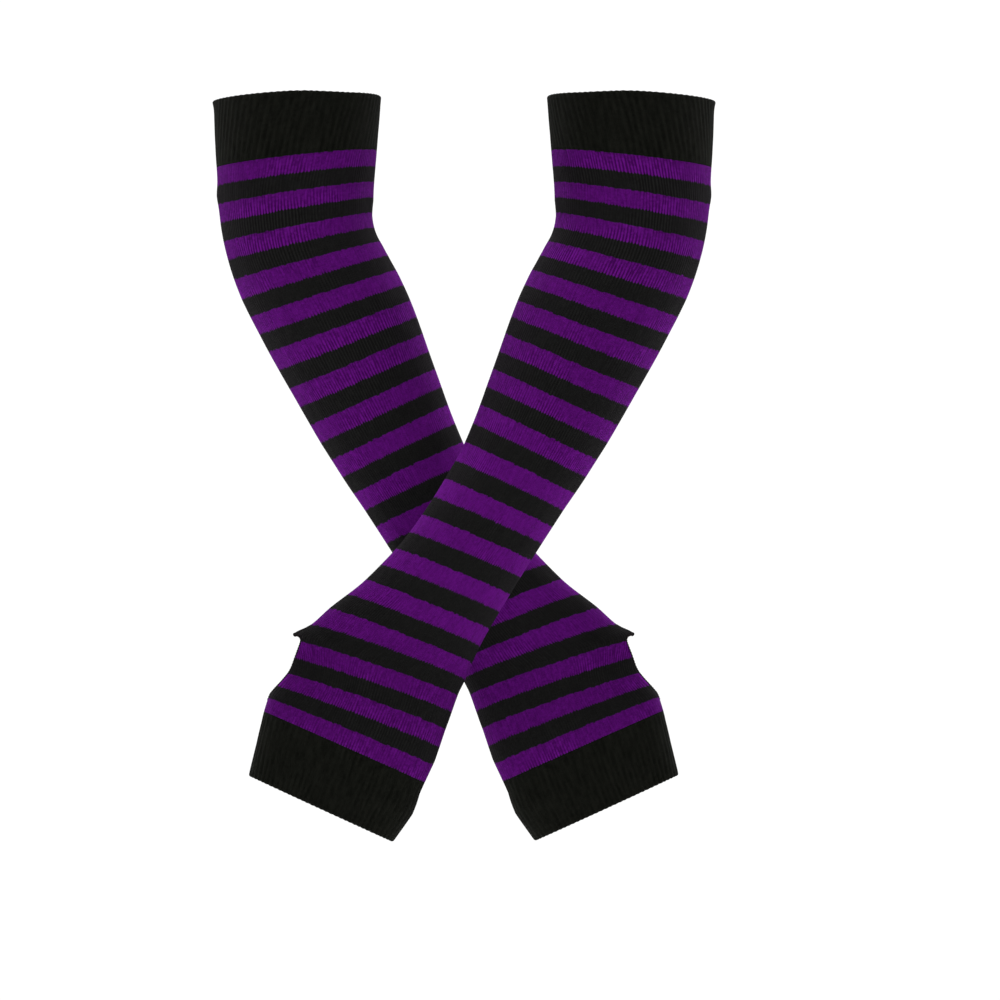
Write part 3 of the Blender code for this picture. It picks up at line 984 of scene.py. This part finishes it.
def stripe_height(graph, wale, course, own_wale, ridge):
    """How far a point lies below the top of its pair of stripes, in courses.

    The edges of the stripes stray, and the wales' crests carry each colour over them in teeth.
    """
    own = graph.scatter(own_wale, (course / STRIPE_COURSES + 0.5).math("FLOOR"))
    stray = (graph.streaks(wale, course, 2.2, 60.0) - 0.5) * EDGE_STRAY
    stray = stray + (own - 0.5) * EDGE_STEP
    jogged = course + (wale / WALES - 0.25) * JOG + stray
    lower = (jogged * (2 * math.pi / STRIPE_PAIR)).cosine().less_from(1.0) * 0.5
    teeth = ridge * (lower * LOWER_TOOTH + TOOTH) * (own * TOOTH_SPREAD + TOOTH_LEAST)
    return (jogged - teeth) % STRIPE_PAIR


def stripes_between(course, none, full):
    """0 at one stripe, 1 at another, and smooth between them."""
    return course.within(none * STRIPE_COURSES, full * STRIPE_COURSES)


def striped_tone(graph, wale, course, own_wale, ridge, low, fibres):
    """How light the striped yarn is: painted light on the wales' crests and painted shade in their
    dips, streaks, fibres and stitches, in soft patches, with painted light on the forearm and painted
    shade on the hand.
    """
    upper_arm = stripes_between(course, 14.0, 2.0)
    forearm = stripes_between(course, 12.0, 20.0)
    hand = stripes_between(course, 25.0, 31.0)
    patches = graph.noise(26.0, 2.0).within(0.43, 0.62)
    patches = patches * (upper_arm * UPPER_ARM_PATCHES - hand * HAND_PATCHES + 1.0)
    # painted light on the wales' crests and painted shade in the dips between them, stronger low in a
    # stripe and in patches
    painted_crest_shade = low * LOWER_CONTRAST + CREST_AND_DIP_PAINTED_SHADE
    painted_crest_shade = painted_crest_shade * (patches * PATCHED_CONTRAST + STEADY_CONTRAST)
    # painted light on the forearm and painted shade on the hand
    tone = ridge * painted_crest_shade + MIDDLE_TONE + forearm * FOREARM_PAINTED_LIGHT - hand * HAND_PAINTED_SHADE
    streaks = graph.streaks(wale, course, 0.7, 6.0) - 0.5
    tone = tone + streaks * (patches * STREAK_CONTRAST + STREAK_CONTRAST)
    stitch = graph.scatter(own_wale, course.math("FLOOR")) - 0.5
    tone = tone + (fibres - 0.5) * FIBRE_CONTRAST
    return tone + stitch * (patches * STITCH_PATCHES + STITCH_CONTRAST)


def striped_knit(name, inside):
    """Fine knit in stripes of purple and black, with the V stitches outside."""
    graph = Graph(name)
    wale, course = graph.knit()
    own_wale = (wale + 0.5).math("FLOOR")
    ridge = (wale * (2 * math.pi)).cosine() * 0.5
    fibres = graph.noise(1500.0, 3.0)
    height = stripe_height(graph, wale, course, own_wale, ridge)
    half = STRIPE_COURSES / 2
    purple = (height - half).size().within(half + EDGE_FADE, half - EDGE_FADE)
    low = (height / STRIPE_COURSES).within(0.1, 1.0)
    tone = striped_tone(graph, wale, course, own_wale, ridge, low, fibres).within(*TONE_ENDS)
    purple_yarn = graph.mix(tone, rgba(PURPLE_DARK), rgba(PURPLE_LIGHT))
    black_yarn = graph.mix(tone, rgba(BLACK_DARK), rgba(BLACK_LIGHT))
    colour = graph.mix(purple, black_yarn, purple_yarn)
    if inside:
        bump = (course * (2 * math.pi)).cosine() * 0.5 + ridge * 0.3 + fibres * 0.5 + 0.5
        return graph.finish(colour, bump, BUMP_DEPTH, YARN_SHEEN, PURPLE_LIGHT)
    bump = stitch_legs(wale, course) + fibres * FIBRE_HEIGHT
    return graph.finish(colour, bump, BUMP_DEPTH, YARN_SHEEN, PURPLE_SHEEN)


def rib_knit(name, inside):
    """Black rib, whose crests are wales of V stitches, with painted light on the crests and painted
    shade in the dips.
    """
    graph = Graph(name)
    wale, course = graph.knit()
    ridge = (wale * math.pi).cosine() * 0.5
    fibres = graph.noise(2200.0, 3.0)
    stitch = graph.scatter(wale.math("ROUND"), course.math("FLOOR"))
    patches = graph.noise(45.0, 2.0).within(0.35, 0.65)
    # painted light on the ribs' crests and painted shade in their dips, stronger in patches
    tone = ridge * (patches * RIB_PATCHED_PAINTED_SHADE + RIB_STEADY_PAINTED_SHADE) + 0.5
    tone = tone + (graph.streaks(wale, course, 1.6, 7.0) - 0.5)
    tone = tone + (fibres - 0.5) * RIB_FIBRE_CONTRAST + (stitch - 0.5) * RIB_STITCH_CONTRAST
    colour = graph.mix(tone.within(*TONE_ENDS), rgba(RIB_DARK), rgba(RIB_LIGHT))
    bump = stitch_legs(wale, course) + fibres * FIBRE_HEIGHT
    depth = RIB_INNER_BUMP_DEPTH if inside else BUMP_DEPTH
    return graph.finish(colour, bump, depth, YARN_SHEEN, BLACK_SHEEN)


def overlock_thread():
    """Black thread, a little smoother than the knit's yarn."""
    graph = Graph("overlock_thread")
    fibres = graph.noise(3500.0, 2.0)
    colour = graph.mix(fibres, rgba(THREAD_DARK), rgba(THREAD_LIGHT))
    return graph.finish(
        colour, fibres, THREAD_BUMP_DEPTH, 0.0, BLACK_SHEEN, roughness=0.75, specular=0.03
    )


def floor_material():
    """A plain, nearly white floor."""
    graph = Graph("pale_floor")
    shade = graph.noise(0.8, 3.0)
    colour = graph.mix(shade, rgba(FLOOR_DARK), rgba(FLOOR_LIGHT))
    return graph.finish(colour, shade, 0.0, 0.0, FLOOR_LIGHT, specular=0.1)


# ---------------- stage


def make_floor():
    half = FLOOR_SIZE / 2
    mesh = bpy.data.meshes.new("floor")
    corners = [(-half, -half), (half, -half), (half, half), (-half, half)]
    mesh.from_pydata([(x, y, FLOOR_LEVEL) for x, y in corners], [], [(0, 1, 2, 3)])
    mesh.materials.append(floor_material())
    floor = put_in_scene("floor", mesh)


def make_softbox(name, azimuth, elevation, strength, shadow=True):
    """A soft light at angles from the camera's side, as strong as surroundings of that strength."""
    light = bpy.data.lights.new(name, "AREA")
    light.use_shadow = shadow
    light.shape = "SQUARE"
    light.size = SOFTBOX_SIZE
    light.energy = strength * (math.pi * SOFTBOX_DISTANCE) ** 2
    turn, up = math.radians(azimuth), math.radians(elevation)
    towards = Vector((math.sin(turn) * math.cos(up), -math.cos(turn) * math.cos(up), math.sin(up)))
    lamp = put_in_scene(name, light)
    lamp.location = Vector(LIT_PLACE) + towards * SOFTBOX_DISTANCE
    lamp.rotation_euler = towards.to_track_quat("Z", "Y").to_euler()
    lamp.visible_camera = False


def make_world():
    """Soft light from all round, which the camera sees as plain white."""
    world = bpy.data.worlds.new("white_surroundings")
    world.use_nodes = True
    tree = world.node_tree
    background = tree.nodes["Background"]
    background.inputs["Color"].default_value = (1.0, 1.0, 1.0, 1.0)
    path = tree.nodes.new("ShaderNodeLightPath")
    strength = tree.nodes.new("ShaderNodeMapRange")
    strength.inputs["To Min"].default_value = SURROUND_LIGHT
    strength.inputs["To Max"].default_value = SURROUND_SEEN
    tree.links.new(path.outputs["Is Camera Ray"], strength.inputs["Value"])
    tree.links.new(strength.outputs["Result"], background.inputs["Strength"])
    bpy.context.scene.world = world
    bpy.context.scene.view_settings.view_transform = "Standard"


def make_lights():
    """Light from ahead and above, and pairs at the sides and behind that lighten the arms' edges.

    In the photo neither arm shades the other, so the lights ahead cast no shadow.
    """
    make_softbox("front_softbox", 0, 6, 0.42, shadow=False)
    make_softbox("high_front_softbox", 0, 66, 0.42, shadow=False)
    make_softbox("top_softbox", 180, 82, 1.5)
    for name, turn in (("left", -1), ("right", 1)):
        make_softbox(f"{name}_side_softbox", turn * 100, 8, 0.08)
        make_softbox(f"{name}_rim_softbox", turn * 120, 3, 0.65)
        make_softbox(f"{name}_back_softbox", turn * 150, 35, 0.5)


def make_camera():
    """The photo's view, from straight ahead and far away."""
    camera = bpy.data.cameras.new("camera")
    width = PHOTO_PIXELS * PHOTO_MM_PER_PIXEL * MM
    camera.sensor_width = SENSOR_WIDTH
    camera.lens = SENSOR_WIDTH * CAMERA_DISTANCE / width
    camera.clip_end = 4 * CAMERA_DISTANCE
    obj = put_in_scene("camera", camera)
    x = (PHOTO_PIXELS / 2 - PHOTO_MIDLINE) * PHOTO_MM_PER_PIXEL * MM
    z = -(PHOTO_PIXELS / 2 - PHOTO_TOP) * PHOTO_MM_PER_PIXEL * MM
    obj.location = (x, SCALE_PLANE * MM - CAMERA_DISTANCE, z)
    obj.rotation_euler = (math.radians(90), 0.0, 0.0)
    bpy.context.scene.camera = obj


# ---------------- the pair


def dress(piece, nodes):
    """Lets a piece stand for its CAD nodes."""
    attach(piece, "root")
    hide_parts(*nodes)


def make_arm_warmer(side, prefix, striped, ribbed, thread):
    arm = Arm(side)
    top = make_cuff(arm, f"{prefix}_top_cuff_rib", TOP_RIM, 0, top_rim_dip, ribbed)
    sleeve = make_sleeve(arm, f"{prefix}_striped_sleeve", striped)
    palm = make_cuff(arm, f"{prefix}_palm_cuff_rib", PALM_RIM, STRIPES, palm_rim_dip, ribbed)
    edge = make_thumb_edge(arm, f"{prefix}_overlocked_edge", thread)
    dress(top, [f"{prefix}_top_cuff"])
    dress(sleeve, [f"{prefix}_sleeve_{stretch}" for stretch in STRETCHES])
    dress(palm, [f"{prefix}_palm_cuff"])
    dress(edge, [f"{prefix}_thumb_edge"])


def main():
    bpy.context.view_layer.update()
    striped = [striped_knit("striped_knit", False), striped_knit("striped_knit_inside", True)]
    ribbed = [rib_knit("rib_knit", False), rib_knit("rib_knit_inside", True)]
    thread = overlock_thread()
    make_arm_warmer(1, "left", striped, ribbed, thread)
    make_arm_warmer(-1, "right", striped, ribbed, thread)
    make_floor()
    make_world()
    make_lights()
    make_camera()
    bpy.context.view_layer.update()


main()
